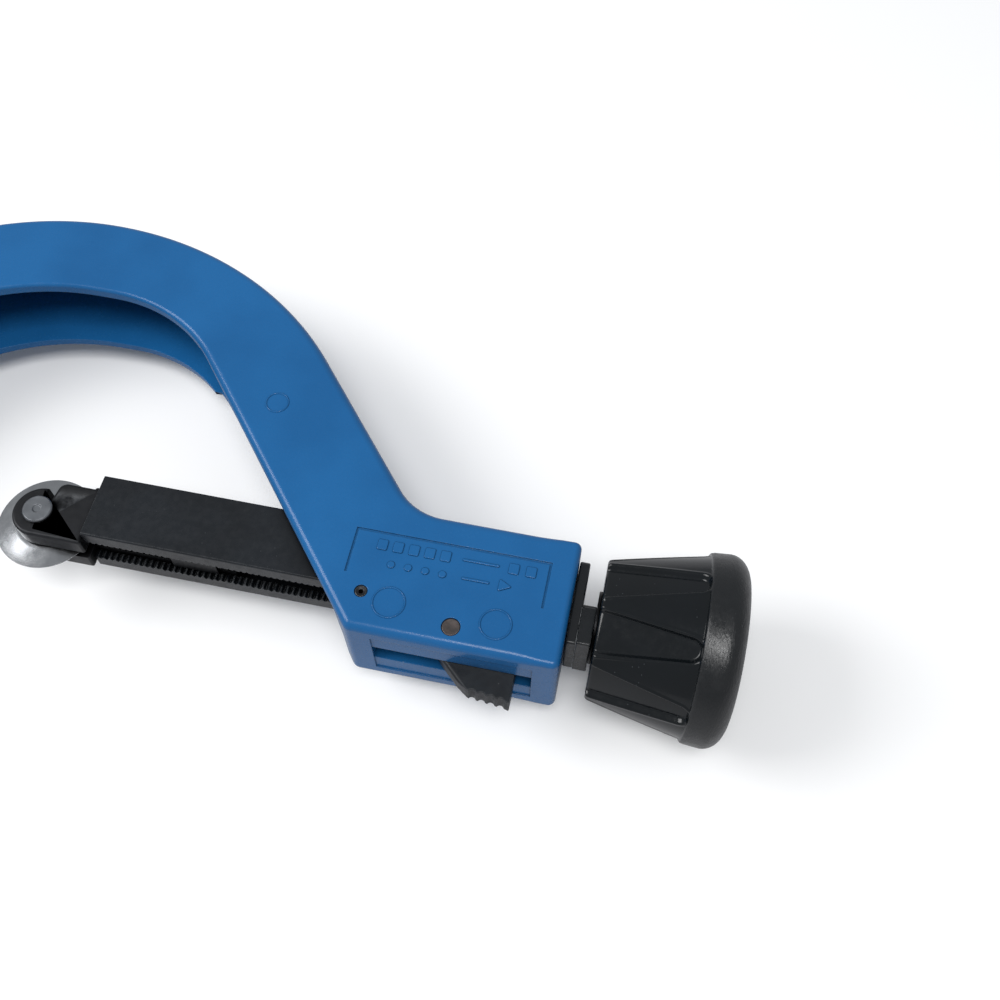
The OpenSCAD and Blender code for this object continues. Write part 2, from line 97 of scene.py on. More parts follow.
# places in the housing: the solid part's start, lever pin, pawl pin, lever slot and rail stop screw
SOLID_X = END - 73.4
LEVER_X, LEVER_Y = END - 35.2, -16.7
PAWL_X, PAWL_Y = END - 65.6, -10.55
SLOT_X0, SLOT_X1 = END - 60.1, END - 8.2
STOP_X = END - 8.4
# radii of the lever pin, pawl pin, wheel and roller axles and feed screw
LEVER_PIN_R, PAWL_PIN_R, AXLE_R, SCREW_R = 3.0, 2.1, 3.0, 4.0
WHEEL_X = RAIL_LOW.x - 18
# the rollers' axles, the upper one first, and the radius of the ears round them
ROLLER_REACH, ROLLER_TILT, EAR_R = 91, math.radians(25), 8
ROLLERS = [(-ROLLER_REACH * math.cos(ROLLER_TILT), s * ROLLER_REACH * math.sin(ROLLER_TILT)) for s in (1, -1)]
# running clearance on a radius, and how far a cutter passes a face
RUN = 0.05
OVER = 1


# ---------------------------------------------------------------- outlines
def arc(cx, cy, r, a0, a1, step=2.0):
    """Points on an arc from a0 to a1 degrees, about step millimetres apart."""
    count = max(4, math.ceil(abs(math.radians(a1 - a0)) * r / step))
    angles = [math.radians(a0 + (a1 - a0) * i / count) for i in range(count + 1)]
    return [(cx + r * math.cos(a), cy + r * math.sin(a)) for a in angles]


def line(p, q, step=4.0):
    """Points between p and q, without its two ends."""
    count = max(1, round(math.dist(p, q) / step))
    return [(p[0] + (q[0] - p[0]) * i / count, p[1] + (q[1] - p[1]) * i / count) for i in range(1, count)]


def rounded(corners, step=4.0):
    """Closed outline through corners given as (x, y, radius), with straight sides cut into steps."""
    bend = 0.22  # radians between the points of a corner
    out = []
    count = len(corners)
    for i, (x, y, r) in enumerate(corners):
        here = Vector((x, y))
        before = (Vector(corners[i - 1][:2]) - here).normalized()
        after = (Vector(corners[(i + 1) % count][:2]) - here).normalized()
        if r:
            half = before.angle(after) / 2
            centre = here + (before + after).normalized() * (r / math.sin(half))
            start = here + before * (r / math.tan(half))
            turn = before.angle(after) - math.pi
            turn *= 1 if before.x * after.y - before.y * after.x > 0 else -1
            spoke = start - centre
            n = max(3, math.ceil(abs(turn) / bend))
            for k in range(n + 1):
                a = turn * k / n
                out.append((centre.x + spoke.x * math.cos(a) - spoke.y * math.sin(a),
                            centre.y + spoke.x * math.sin(a) + spoke.y * math.cos(a)))
        else:
            out.append((x, y))
    full = []
    for i, p in enumerate(out):
        full.append(p)
        q = out[(i + 1) % len(out)]
        if math.dist(p, q) > 1.5 * step:
            full += line(p, q, step)
    return full


def plate(low, high, r):
    """Outline of a rectangle between two corners with corner radius r."""
    return rounded([(low[0], low[1], r), (high[0], low[1], r), (high[0], high[1], r), (low[0], high[1], r)])


def inset(outline, widths):
    """Outline moved inwards at each point by its own width, mitred. The outline runs anticlockwise."""
    sharpest = 0.45  # keeps the mitre of a sharp corner short
    out = []
    count = len(outline)
    for i, (x, y) in enumerate(outline):
        a = Vector((x, y)) - Vector(outline[i - 1])
        b = Vector(outline[(i + 1) % count]) - Vector((x, y))
        na = Vector((-a.y, a.x)).normalized()
        nb = Vector((-b.y, b.x)).normalized()
        normal = (na + nb).normalized()
        shift = widths[i] / max(sharpest, normal.dot(na))
        out.append((x + normal.x * shift, y + normal.y * shift))
    return out


def clean(points, widths, least=0.25):
    """Drops points closer together than least."""
    kept, kept_widths = [], []
    for p, w in zip(points, widths):
        if not kept or math.dist(kept[-1], p) > least:
            kept.append(p)
            kept_widths.append(w)
    if math.dist(kept[0], kept[-1]) <= least:
        kept.pop()
        kept_widths.pop()
    return kept, kept_widths


def smooth(t):
    """Eased step from 0 to 1."""
    t = min(1.0, max(0.0, t))
    return t * t * (3 - 2 * t)


def jaw_point(centre, r, angle):
    """Where a ray from the origin at angle degrees leaves a circle."""
    dx, dy = math.cos(math.radians(angle)), math.sin(math.radians(angle))
    b = dx * centre[0] + dy * centre[1]
    c = centre[0] ** 2 + centre[1] ** 2 - r * r
    t = b + math.sqrt(b * b - c)
    return dx * t, dy * t


# ---------------------------------------------------------------- meshes
def mesh(name, verts, faces):
    """New object from vertices in millimetres, with all faces turned outwards."""
    data = bpy.data.meshes.new(name)
    data.from_pydata([Vector(v) * MM for v in verts], [], faces)
    data.validate()
    data.update()
    obj = bpy.data.objects.new(name, data)
    bpy.context.scene.collection.objects.link(obj)
    bm = bmesh.new()
    bm.from_mesh(data)
    bmesh.ops.recalc_face_normals(bm, faces=bm.faces)
    bm.to_mesh(data)
    bm.free()
    return obj


def place(axis, u, v, w):
    """Point with w along the named axis and u, v across it."""
    return {"z": (u, v, w), "x": (w, u, v), "y": (v, w, u)}[axis]


def slab(name, outline, low, high, widths=0.4, steps=3, axis="z"):
    """Outline extruded from low to high, both rims filleted by widths, one number or one per point."""
    count = len(outline)
    if not isinstance(widths, list):
        widths = [widths] * count
    rings = []
    for rim, side, order in ((low, 1, range(steps, -1, -1)), (high, -1, range(steps + 1))):
        for k in order:
            turn = math.pi / 2 * k / steps
            flat = inset(outline, [w * (1 - math.cos(turn)) for w in widths])
            rings.append([(p[0], p[1], rim + side * w * (1 - math.sin(turn))) for p, w in zip(flat, widths)])
    verts = [place(axis, *p) for ring in rings for p in ring]
    faces = [tuple(reversed(range(count))), tuple(range(len(verts) - count, len(verts)))]
    for k in range(len(rings) - 1):
        for i in range(count):
            j = (i + 1) % count
            faces.append((k * count + i, k * count + j, (k + 1) * count + j, (k + 1) * count + i))
    return mesh(name, verts, faces)


def prism(name, outline, low, high, axis="z"):
    """Outline extruded with sharp rims."""
    count = len(outline)
    verts = [place(axis, x, y, w) for w in (low, high) for x, y in outline]
    faces = [tuple(reversed(range(count))), tuple(range(count, 2 * count))]
    faces += [(i, (i + 1) % count, (i + 1) % count + count, i + count) for i in range(count)]
    return mesh(name, verts, faces)


def block(name, low, high):
    """Sharp box between two corners."""
    (x0, y0, z0), (x1, y1, z1) = low, high
    return prism(name, [(x0, y0), (x1, y0), (x1, y1), (x0, y1)], z0, z1)


def revolve(name, profile, centre, axis="z", count=72):
    """Closed (radius, height) profile turned round an axis through centre."""
    verts, faces = [], []
    n = len(profile)
    for k in range(count):
        a = TAU * k / count
        for r, h in profile:
            p = place(axis, r * math.cos(a), r * math.sin(a), h)
            verts.append(tuple(c + d for c, d in zip(p, centre)))
    for k in range(count):
        m = (k + 1) % count
        for i in range(n):
            j = (i + 1) % n
            faces.append((k * n + i, k * n + j, m * n + j, m * n + i))
    obj = mesh(name, verts, faces)
    # points on the axis coincide, so they are merged
    same = 1e-7
    bm = bmesh.new()
    bm.from_mesh(obj.data)
    bmesh.ops.remove_doubles(bm, verts=bm.verts, dist=same)
    bmesh.ops.dissolve_degenerate(bm, edges=bm.edges, dist=same)
    bmesh.ops.recalc_face_normals(bm, faces=bm.faces)
    bm.to_mesh(obj.data)
    bm.free()
    return obj


def rod(name, centre, r, low, high, axis="z", count=48):
    """Plain round bar, which serves as a cutter for bores."""
    outline = [(r * math.cos(TAU * i / count), r * math.sin(TAU * i / count)) for i in range(count)]
    obj = prism(name, outline, low, high, axis)
    for v in obj.data.vertices:
        v.co += Vector(centre) * MM
    return obj


def boolean(obj, tools, operation="DIFFERENCE"):
    """Cuts or joins the tools with obj, one after another, and removes them."""
    for tool in tools:
        mod = obj.modifiers.new("cut", "BOOLEAN")
        mod.operation = operation
        mod.solver = "EXACT"
        mod.object = tool
        bpy.context.view_layer.update()
        result = bpy.data.meshes.new_from_object(obj.evaluated_get(bpy.context.evaluated_depsgraph_get()))
        obj.modifiers.clear()
        obj.data = result
        bpy.data.objects.remove(tool)
    return obj


def join(name, objs):
    """One object from several."""
    verts, faces = [], []
    for o in objs:
        base = len(verts)
        verts += [v.co / MM for v in o.data.vertices]
        faces += [tuple(base + i for i in p.vertices) for p in o.data.polygons]
        bpy.data.objects.remove(o)
    return mesh(name, verts, faces)


def finish_piece(obj, material, body, nodes, angle=32):
    """Gives a piece its smooth shading, its finish, the body it rides on and the CAD nodes it stands for."""
    obj.data.materials.clear()
    obj.data.materials.append(material)
    obj.data.polygons.foreach_set("use_smooth", [True] * len(obj.data.polygons))
    obj.data.set_sharp_from_angle(angle=math.radians(angle))
    normals = obj.modifiers.new("normals", "WEIGHTED_NORMAL")
    normals.keep_sharp = True
    normals.weight = 60
    if body:
        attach(obj, body)
    if nodes:
        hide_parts(*nodes)
    return obj


# ---------------------------------------------------------------- finishes
def rgba(code, gain=1.0):
    """Linear colour from a hex code, with its brightness times gain."""
    parts = [int(code[i:i + 2], 16) / 255 for i in (0, 2, 4)]
    linear = [p / 12.92 if p <= 0.04045 else ((p + 0.055) / 1.055) ** 2.4 for p in parts]
    return (*(p * gain for p in linear), 1)


class Graph:
    """Short helpers round a material's node tree."""

    def __init__(self, name):
        self.material = bpy.data.materials.new(name)
        self.material.use_nodes = True
        self.tree = self.material.node_tree
        self.tree.nodes.clear()
        self.out = self.add("ShaderNodeOutputMaterial")

    def feed(self, socket, value):
        """Links value to the socket, or sets it if it is a plain number or colour."""
        if isinstance(value, bpy.types.NodeSocket):
            self.tree.links.new(value, socket)
        else:
            socket.default_value = value

    def add(self, kind, inputs=None, **settings):
        """New node with its settings, and its inputs fed by name or number."""
        node = self.tree.nodes.new(kind)
        for key, value in settings.items():
            setattr(node, key, value)
        for key, value in (inputs or {}).items():
            self.feed(node.inputs[key], value)
        return node

    def mix(self, factor, a, b):
        """Colour a where factor is 0 and b where it is 1."""
        return self.add("ShaderNodeMix", {0: factor, 6: a, 7: b}, data_type="RGBA").outputs[2]

    def ramp(self, value, low, high, to_low=0.0, to_high=1.0):
        inputs = {0: value, 1: low, 2: high, 3: to_low, 4: to_high}
        return self.add("ShaderNodeMapRange", inputs).outputs[0]

    def math(self, operation, a, b):
        return self.add("ShaderNodeMath", {0: a, 1: b}, operation=operation).outputs[0]

    def scaled(self, coords, factors):
        return self.add("ShaderNodeMapping", {"Vector": coords, "Scale": tuple(factors)}).outputs[0]

    def noise(self, coords, scale, detail=2.0, roughness=0.5):
        inputs = {"Vector": coords, "Scale": scale, "Detail": detail, "Roughness": roughness}
        return self.add("ShaderNodeTexNoise", inputs).outputs[0]

    def bump(self, height, depth, normal):
        """Normal of a relief that is depth millimetres deep."""
        inputs = {"Strength": 1.0, "Distance": depth * MM, "Height": height, "Normal": normal}
        return self.add("ShaderNodeBump", inputs).outputs[0]


def finish(name, base, shift, rough, rough_shift=0.08, metal=0.0, specular=0.5, coat=0.0, coat_rough=0.08,
           grain=1.5, grain_depth=0.02, grain_stretch=(1, 1, 1), cloud=0.06, edge=0.35,
           wear_and_sheen=None, wear_and_sheen_amount=0.0, specks=0.0, speck_colour="a9adb0", peel=0.0, painted_shade=0.0, painted_shade_reach=9.0):
    """Procedural finish. Depths, edge and painted_shade_reach are millimetres, and grain and cloud are cycles
    for each millimetre.

    base, shift: the colour and the one it drifts to in clouds
    rough, rough_shift: roughness and how far it wanders
    grain, grain_depth, grain_stretch: fine relief
    edge: radius by which edges are softened
    wear_and_sheen, wear_and_sheen_amount: colour laid along the edges, partly abraded edges and partly a
    painted edge highlight, and how strongly it shows
    specks, speck_colour: strength and colour of scattered dust
    peel: depth of the slow waves of paint or moulded plastic
    painted_shade, painted_shade_reach: painted shade, how far slots, hollows and gaps between parts are
    darkened in colour and specular, and the reach of that shade
    """
    g = Graph(name)
    here = g.add("ShaderNodeTexCoord").outputs["Object"]
    fine = g.scaled(here, [s / MM for s in grain_stretch])
    even = g.scaled(here, [1 / MM] * 3)
    drift = g.noise(even, cloud, 3.0)
    grains = g.noise(fine, grain, 3.0, 0.6)
    patches = g.noise(even, 0.35, 4.0, 0.65)
    soft = g.add("ShaderNodeBevel", {"Radius": edge * MM}, samples=5).outputs[0]
    tint = g.mix(g.ramp(drift, 0.35, 0.65), rgba(base), rgba(shift))
    tint = g.mix(g.ramp(grains, 0.3, 0.8, 0.0, 0.12), tint, rgba(base, 0.5))
    roughness = g.ramp(patches, 0.3, 0.7, rough - rough_shift, rough + rough_shift)
    if specks:
        cells = g.add("ShaderNodeTexVoronoi", {"Vector": even, "Scale": 0.55, "Randomness": 1.0})
        spots = g.ramp(cells.outputs["Distance"], 0.05, 0.11, 1.0, 0.0)
        chance = g.ramp(g.noise(even, 0.09, 1.0), 0.55, 0.62)
        dust = g.math("MULTIPLY", g.math("MULTIPLY", spots, chance), specks)
        tint = g.mix(dust, tint, rgba(speck_colour))
    # painted edge highlight, partly real abrasion: a lighter colour laid along the edges and broken up by
    # noise
    if wear_and_sheen:
        # the softened normal leaves the face's own normal only near an edge
        flat = g.add("ShaderNodeNewGeometry").outputs["True Normal"]
        turn = g.add("ShaderNodeVectorMath", {0: soft, 1: flat}, operation="DOT_PRODUCT").outputs["Value"]
        rim = g.ramp(g.math("SUBTRACT", 1.0, turn), 0.02, 0.12)
        broken = g.ramp(patches, 0.36, 0.62)
        worn_and_sheen = g.math("MULTIPLY", g.math("MULTIPLY", rim, broken), wear_and_sheen_amount)
        tint = g.mix(worn_and_sheen, tint, rgba(wear_and_sheen))
    # painted shade: ambient occlusion darkens the colour and the specular in slots, hollows and gaps between
    # parts
    if painted_shade:
        open_sky = g.add("ShaderNodeAmbientOcclusion", {"Distance": painted_shade_reach * MM}, samples=4).outputs["AO"]
        shade = g.ramp(open_sky, 0.25, 0.85, 1.0 - painted_shade, 1.0)
        tint = g.mix(shade, rgba("000000"), tint)
        specular = g.math("MULTIPLY", shade, specular)
    normal = g.bump(grains, grain_depth, soft)
    if peel:
        normal = g.bump(g.noise(even, 0.55, 1.0), peel, normal)
    shader = g.add("ShaderNodeBsdfPrincipled", {
        "Base Color": tint, "Roughness": roughness, "Metallic": metal, "Specular IOR Level": specular,
        "Normal": normal, "Coat Weight": coat, "Coat Roughness": coat_rough})
    if coat:
        g.feed(shader.inputs["Coat Normal"], normal)
    g.feed(g.out.inputs[0], shader.outputs[0])
    return g.material


# the lighter blue on the edges is a painted edge highlight, and the painted shade darkens the channel, the
# slots and the recesses
BLUE = finish("blue_enamel", "18588e", "1c5f97", 0.25, 0.06, specular=0.22, coat=0.12, coat_rough=0.06,
              grain=1.2, grain_depth=0.0016, cloud=0.03, edge=0.45, wear_and_sheen="3d7fbd", wear_and_sheen_amount=0.30,
              peel=0.009, painted_shade=0.6, painted_shade_reach=14.0)
# the light grey on the edges and teeth is partly bare metal at abraded edges and partly a painted edge
# highlight; the painted shade darkens the slot and the teeth
ANODISED = finish("black_anodised_bar", "0d1014", "191d22", 0.29, 0.10, metal=0.15, specular=0.45,
                  grain=5.0, grain_depth=0.006, grain_stretch=(0.08, 1, 1), cloud=0.035, edge=0.3,
                  wear_and_sheen="a3a6a9", wear_and_sheen_amount=0.75, specks=0.10, painted_shade=0.92, painted_shade_reach=7.0)
# the light grey on the block's edges is a painted edge highlight
BLACK_CAST = finish("black_cast_block", "0c0f13", "13171b", 0.30, 0.08, metal=0.1, grain=1.6,
                    grain_depth=0.015, wear_and_sheen="b4b7ba", wear_and_sheen_amount=0.85)
KNOB_PLASTIC = finish("black_moulded_knob", "05090c", "080d11", 0.16, 0.05, specular=0.32, coat=0.15,
                      coat_rough=0.06, grain=0.9, grain_depth=0.006, cloud=0.05, specks=0.22,
                      speck_colour="7f8488", peel=0.02)
KNOB_RIM = finish("black_satin_rim", "080b0e", "0d1013", 0.31, 0.08, specular=0.55, grain=0.85,
                  grain_depth=0.16, grain_stretch=(2.4, 0.5, 0.5), specks=0.25, speck_colour="8a8f93")
LEVER_STEEL = finish("phosphated_lever", "14171b", "1c2024", 0.44, 0.10, metal=0.3, specular=0.4,
                     grain=2.4, grain_depth=0.03, cloud=0.22, edge=0.3, wear_and_sheen="74777a", wear_and_sheen_amount=0.7,
                     specks=0.3, speck_colour="8c8f92")
RIVET = finish("browned_rivet", "59514f", "474342", 0.48, 0.10, metal=0.7, grain=3.0, grain_depth=0.03,
               cloud=0.6, edge=0.25, wear_and_sheen="a39a95", wear_and_sheen_amount=0.6, specks=0.4, speck_colour="3a3432")
SCREW_STEEL = finish("zinc_screw", "85888c", "74777b", 0.32, 0.08, metal=0.95, grain=3.0,
                     grain_depth=0.012, grain_stretch=(0.25, 1, 1), edge=0.15, wear_and_sheen="c4c6c8",
                     wear_and_sheen_amount=0.4)
# the painted shade darkens its slots and hollows
OXIDE = finish("black_oxide_steel", "1b1c1e", "242528", 0.38, 0.08, metal=0.6, grain=2.5, edge=0.2,
               wear_and_sheen="6e7073", wear_and_sheen_amount=0.5, painted_shade=0.9, painted_shade_reach=7.0)
DARK_RIVET = finish("darkened_rivet", "26282b", "1d1f22", 0.42, 0.10, metal=0.6, grain=3.0,
                    grain_depth=0.03, cloud=0.6, edge=0.25, wear_and_sheen="a9abad", wear_and_sheen_amount=0.9)
SPRING_STEEL = finish("bright_spring_wire", "8c8e90", "77797c", 0.26, 0.06, metal=1.0, grain=4.0,
                      grain_depth=0.008, edge=0.1)
WHEEL_STEEL = finish("ground_wheel_steel", "b4b6b8", "a0a2a5", 0.20, 0.05, metal=1.0, grain=5.0,
                     grain_depth=0.004, grain_stretch=(0.3, 0.3, 1), edge=0.05)
ROLLER_METAL = finish("turned_roller_metal", "9fa3a7", "8b8f93", 0.28, 0.07, metal=1.0, grain=4.5,
                      grain_depth=0.01, grain_stretch=(0.15, 0.15, 1.5), edge=0.25, wear_and_sheen="d0d3d6",
                      wear_and_sheen_amount=0.3)


# ---------------------------------------------------------------- frame casting
def on_circle(r, angle, centre=(0, 0)):
    """Point at angle degrees on a circle."""
    return centre[0] + r * math.cos(math.radians(angle)), centre[1] + r * math.sin(math.radians(angle))


def ear_bump(roller):
    """The roller ear inside the jaw circle: its direction and half width in degrees, and its arc."""
    axis = math.degrees(math.atan2(roller[1], roller[0]))
    reach = (ROLLER_REACH ** 2 + JAW_R ** 2 - EAR_R ** 2) / (2 * ROLLER_REACH * JAW_R)
    half = math.degrees(math.acos(reach))
    ends = []
    for angle, side in ((axis + half, -60), (axis - half, 60)):
        x, y = on_circle(JAW_R, angle)
        end = math.degrees(math.atan2(y - roller[1], x - roller[0]))
        # in the same turn as the ear's inward side
        ends.append(end + 360 * round((axis + 180 + side - end) / 360))
    return axis % 360, half, arc(*roller, EAR_R, *ends, 1.0)


def frame_outline():
    """Outer contour of the casting with a fillet width for every point."""
    corner = 2.4
    outer = arc(END - corner, BOTTOM + corner, corner, -90, 0, 0.6)
    outer += line((END, BOTTOM + corner), (END, TOP - corner))
    outer += arc(END - corner, TOP - corner, corner, 0, 90, 0.6)
    outer += line((END - corner, TOP), (KNEE_X, TOP))
    outer += arc(KNEE_X, TOP + KNEE_R, KNEE_R, -90, -90 - SLOPE_DEG, 1.5)
    outer += line(outer[-1], (ARCH_C[0] + ARCH_R * NX, ARCH_C[1] + ARCH_R * NY))
    outer += arc(*ARCH_C, ARCH_R, 90 - SLOPE_DEG, 90, 2.5)[:-1]
    # the jaw's back, and its flat tip with the two corners eased
    tip_out = Vector(jaw_point(JAW_C, OUTER_R, JAW_END))
    tip_in = Vector(on_circle(JAW_R, JAW_END))
    tip_angle = math.degrees(math.atan2(tip_out.y - JAW_C[1], tip_out.x - JAW_C[0])) % 360
    along = (tip_in - tip_out).normalized()
    outer += arc(*JAW_C, OUTER_R, 90, tip_angle - 2.2, 2.5)
    outer.append(tuple(tip_out + along * 1.2 + Vector((-0.3, 0.2))))
    outer += [tuple(tip_out + along * d) for d in (3.5, 8, 13, 18)]
    inner = [tuple(tip_in - along * 2.5), tuple(tip_in - along * 0.6 + Vector((0.0, 0.5)))]
    # the jaw's inside with the two ears, the inner corner and the arm down to the housing
    gap = 0.6
    at = JAW_END - 1.6
    for roller in reversed(ROLLERS):
        axis, half, bump = ear_bump(roller)
        inner += arc(0, 0, JAW_R, at, axis + half + gap, 2.0)
        inner += bump
        at = axis - half - gap
    inner += arc(0, 0, JAW_R, at, 90, 2.0)
    inner += arc(*CORNER_C, CORNER_R, 90, 90 - SLOPE_DEG, 1.6)
    last = (END - corner, BOTTOM)
    low = rounded([(*inner[-1], 0), (LOW_X, BOTTOM, 3.2), (*last, 0)])
    inner += low[1:low.index(last)]
    # fillets: broad on the arch's back, small at the jaw's tip, inside the jaw and at the knob end
    back, tip, jaw, arm, end = 3.2, 1.6, 1.4, 3.0, 2.1
    widths = []
    for i, (x, y) in enumerate(outer + inner):
        near_end = smooth((x - END + 14) / 10)
        if i < len(outer):
            width = back + (end - back) * near_end
            width += (tip - width) * smooth((-25 - y) / 25) * (x < 0)
        else:
            width = jaw + (arm - jaw) * smooth((x - 20) / 40)
            width += (end - width) * near_end
        widths.append(width)
    return outer + inner, widths


def channel_outline():
    """Hollow of the C section, open towards the pipe."""
    x, y = jaw_point(JAW_C, OUTER_R - WEB, JAW_END - 2.5)
    last = math.degrees(math.atan2(y - JAW_C[1], x - JAW_C[0])) % 360
    web_y = (OUTER_LINE - WEB - NX * SOLID_X) / NY
    below = -60.0
    out = [(SOLID_X, below), (SOLID_X, web_y)]
    out += arc(*ARCH_C, ARCH_R - WEB, 90 - SLOPE_DEG, 90, 3)[:-1]
    out += arc(*JAW_C, OUTER_R - WEB, 90, last, 3)
    out.append((0.0, 0.0))
    return out


def draft_far_lip(body, draft=2.2, reach=6.0):
    """Sets the far flange's lip back a little along the slanted arm, as the casting's draft does."""
    start, end = 20, 124
    for v in body.data.vertices:
        x, y, z = v.co / MM
        depth = NX * x + NY * y - INNER_LINE
        if z < -10 and -0.5 < depth < reach and start - 5 < x < end:
            along = smooth((x - start) / 35) * smooth((end - x) / 10)
            shift = draft * (1 - max(depth, 0) / reach) * along * MM
            v.co.x += NX * shift
            v.co.y += NY * shift


def build_frame():
    """Casting: filleted outline, hollowed for the C section, the rail, the latch and the pins."""
    points, widths = clean(*frame_outline())
    body = slab("frame_casting", points, -HALF_W, HALF_W, widths, 5)
    draft_far_lip(body)
    inside = HALF_W - FLANGE
    gap = 0.15
    rail_z = RAIL_HIGH.z + gap
    far = HALF_W + OVER
    floor = -19.3
    chamber = [(SOLID_X + 3.5, 0), (SOLID_X + 3.5, -14), (SOLID_X + 7.8, floor), (END - 5, floor),
               (END - 5, 0)]
    # a three-sided groove frames the size panel
    panel_x, panel_y, panel_z = END - 72.6, -4.8, HALF_W - 0.4
    wide, high, line_w = 64.4, 16.1, 0.8
    groove = [(0, 0), (line_w, 0), (line_w, high - line_w), (wide - line_w, high - line_w),
              (wide - line_w, 0), (wide, 0), (wide, high), (0, high)]
    tools = [
        prism("channel", channel_outline(), -inside, inside),
        block("rail", (SOLID_X - OVER, RAIL_LOW.y - gap, -rail_z), (END + OVER, RAIL_HIGH.y + gap, rail_z)),
        prism("chamber", chamber, -8, 8),
        block("recess", (SLOT_X0, BOTTOM - OVER, -12), (SLOT_X1, BOTTOM + 0.5, 12)),
        block("slot", (SLOT_X0 + 0.02, BOTTOM - OVER, -4.3), (SLOT_X1 - 0.02, BOTTOM + 7, 4.3)),
        prism("panel", [(panel_x + x, panel_y + y) for x, y in groove], panel_z, panel_z + 1),
        rod("bore", (LEVER_X, LEVER_Y, 0), LEVER_PIN_R + RUN, -far, far),
        rod("bore", (PAWL_X, PAWL_Y, 0), PAWL_PIN_R + RUN, -far, far),
        rod("bore", (STOP_X, 0, 0), 2.5 + RUN, 10, 30, "y"),
    ]
    tools += [rod("bore", (x, y, 0), AXLE_R + RUN, -far, far) for x, y in ROLLERS]
    boolean(body, tools)
    return finish_piece(body, BLUE, "frame", ["frame"], 30)


def ridge_ring(x, y, r):
    """Low half-round ring left by an ejector pin."""
    profile = [(r - 0.75, HALF_W - 0.05), (r - 0.6, HALF_W + 0.15), (r - 0.35, HALF_W + 0.28),
               (r - 0.1, HALF_W + 0.15), (r + 0.05, HALF_W - 0.05)]
    return revolve("ring", profile, (x, y, 0), "z", 64)


def mark(outline):
    """Low embossed mark on the near face."""
    return slab("mark", outline, HALF_W - 0.1, HALF_W + 0.32, 0.28, 3)


def build_relief():
    """Ejector-pin rings, and plain squares, dashes, dots and a triangle in two rows on the size panel."""
    rings = ((21.8, -13.1, 5.3), (56.1, -12.6, 5.5), (112.4, 52.5, 4.2))
    parts = [ridge_ring(END - back, y, r) for back, y, r in rings]
    left = END - 66.6
    upper, lower = 6.6, 0.2

    def squares(first, step, count):
        for i in range(count):
            x = left + first + i * step
            parts.append(mark(plate((x, upper - 1.9), (x + 3.4, upper + 1.9), 0.55)))

    def dash(first, length, level):
        x = left + first
        parts.append(mark(plate((x, level - 0.45), (x + length, level + 0.45), 0.4)))

    squares(2, 5.2, 5)
    dash(30, 12, upper)
    squares(45, 5.6, 2)
    for i in range(4):
        parts.append(mark(arc(left + 8 + i * 5.6, lower, 1.3, 0, 345, 0.5)))
    dash(31, 9, lower)
    tip = left + 43
    parts.append(mark(rounded([(tip, lower - 2.3, 0.4), (tip + 4.4, lower, 0.4), (tip, lower + 2.3, 0.4)])))
    return finish_piece(join("casting_relief_marks", parts), BLUE, "frame", [], 40)


# ---------------------------------------------------------------- rail
def build_rail():
    """Square tube with a slotted, toothed face and, in the opposite face, a groove for the stop screw."""
    lo, hi, half = RAIL_LOW.y, RAIL_HIGH.y, RAIL_HIGH.z
    wall, tip, travel = 3.0, 5.2, 88
    section = rounded([
        (lo, -half, 0.7), (hi, -half, 0.7), (hi, half, 0.7), (lo, half, 0.7), (lo, tip, 0.3),
        (lo + wall, tip, 0.3), (lo + wall, half - wall, 0.8), (hi - wall, half - wall, 0.8),
        (hi - wall, wall - half, 0.8), (lo + wall, wall - half, 0.8), (lo + wall, -tip, 0.3),
        (lo, -tip, 0.3)], 6)
    body = slab("slide_rail_bar", section, RAIL_LOW.x, RAIL_HIGH.x, 0.25, 2, "x")
    # one edge of the rack's cutter, as (Z, X); the other edge mirrors it
    pitch, root, mouth = 2.1, tip + 1.0, tip - 0.1
    edge = []
    x = RAIL_LOW.x + 2
    while x <= END - 3:
        edge += [(mouth, x - 0.95), (root, x - 0.12), (root, x + 0.12), (mouth, x + 0.95)]
        x += pitch
    edge = [(mouth, edge[0][1] - 0.5)] + edge + [(mouth, edge[-1][1] + 0.5)]
    teeth = edge + [(-z, x) for z, x in reversed(edge)]
    cut = prism("rack", teeth, lo - 2, lo + wall + 0.5, "y")
    groove = block("groove", (STOP_X - 2.1 - travel, hi - 1.4, -2.2), (STOP_X + 2.6, hi + 2, 2.2))
    holes = [rod("hole", (END - 8, y, 0), 1.6, -half - OVER, half + OVER, "z", 32) for y in (3.5, 10)]
    boolean(body, [cut, groove] + holes)
    return finish_piece(body, ANODISED, "rail", ["slide_rail"], 30)


